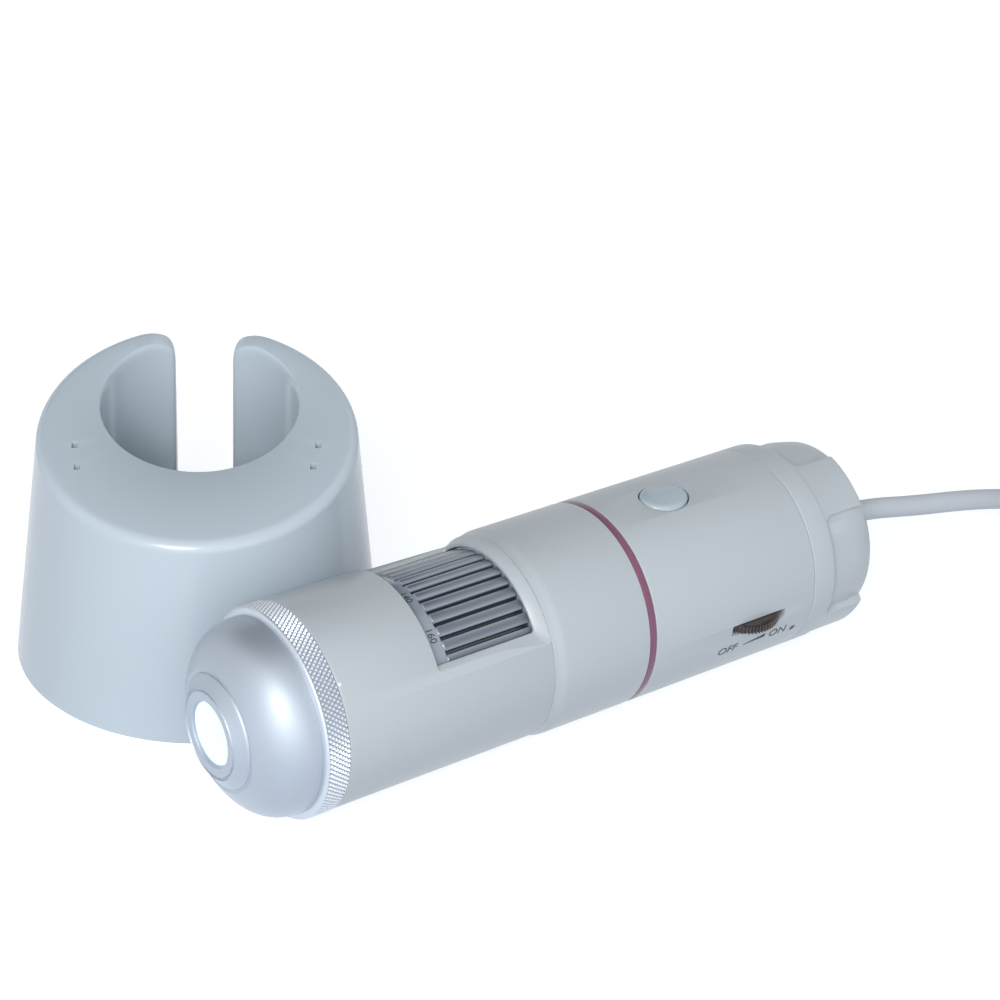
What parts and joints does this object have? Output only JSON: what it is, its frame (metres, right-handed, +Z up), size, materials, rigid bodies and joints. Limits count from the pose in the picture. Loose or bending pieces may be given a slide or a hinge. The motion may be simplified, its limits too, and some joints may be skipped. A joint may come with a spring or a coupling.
{
  "type": "usb digital microscope",
  "caption": "Handheld USB microscope with a ribbed focus wheel, snapshot button and light dial, lying beside its slanted C-shaped stand.",
  "frame": {"origin": "on the table, at the centre of the bounding box of the microscope and its stand, without the lead", "axes": "+X along the microscope from its nose to its rear cap, +Z up, the stand on the +Y side"},
  "size_m": [0.2295, 0.1278, 0.0475],
  "materials": {
    "grey": "smooth, softly glossy blue-grey",
    "stand": "smooth, softly glossy blue-grey",
    "silver": "satin silver paint",
    "ring": "bright silver, fine diamond knurl",
    "mauve": "smooth mauve",
    "wheel": "translucent grey with frosted ribs",
    "lit": "pale, lit from behind",
    "board": "green circuit board",
    "dark": "matt",
    "black": "satin black",
    "brass": "turned",
    "glass": "polished",
    "copper": "flexible film",
    "cord": "smooth light grey",
    "steel": "plain pressed sheet"
  },
  "bodies": {
    "microscope": {"front_barrel": "grey", "middle_barrel": "grey", "rear_barrel": "grey", "rear_cap": "grey", "nose_cone": "silver", "knurled_ring": "ring", "accent_ring": "mauve", "light_window": "lit", "led_1": "lit", "led_2": "lit", "led_3": "lit", "led_4": "lit", "led_5": "lit", "led_6": "lit", "led_7": "lit", "led_8": "lit", "led_board": "board", "sensor_board": "board", "main_board": "board", "guide_tube": "dark", "board_carrier": "dark", "cable_tie": "dark", "image_sensor": "black", "tact_switch": "black", "dimmer_pot": "black", "sensor_ribbon": "copper", "cable_gland": "cord", "cable": "cord", "cable_coil": "cord", "usb_plug_grip": "cord", "usb_plug_shell": "steel"},
    "focus_wheel": {"focus_wheel": "wheel"},
    "lens_carriage": {"lens_barrel": "black", "objective_lens": "glass", "lens_retainer": "brass", "rear_lens": "glass"},
    "snapshot_button": {"snapshot_button": "grey"},
    "led_dial": {"led_dial": "black"},
    "stand": {"stand_shell": "stand"}
  },
  "joints": [
    {"name": "focus_wheel_turn", "type": "hinge", "parent": "microscope", "child": "focus_wheel", "pos_m": [-0.01925, -0.02891, 0.0175], "axis": [1, 0, 0], "range_deg": [-135, 135]},
    {"name": "lens_travel", "type": "slide", "parent": "microscope", "child": "lens_carriage", "axis": [1, 0, 0], "range_m": [-0.005, 0.005]},
    {"name": "button_press", "type": "slide", "parent": "microscope", "child": "snapshot_button", "axis": [0, 0.0872, -0.9962], "range_m": [0, 0.0006], "stiffness_N_per_m": 900, "springref_m": -0.001},
    {"name": "dial_turn", "type": "hinge", "parent": "microscope", "child": "led_dial", "pos_m": [0.0342, -0.04156, 0.01639], "axis": [0, -0.0872, 0.9962], "range_deg": [-135, 135]},
    {"name": "stand_apart", "type": "slide", "parent": "microscope", "child": "stand", "axis": [0, 1, 0], "range_m": [0, 0.06]}
  ],
  "couplings": [
    {"joint": "lens_travel", "follows": "focus_wheel_turn", "m_per_rad": 0.0021}
  ]
}
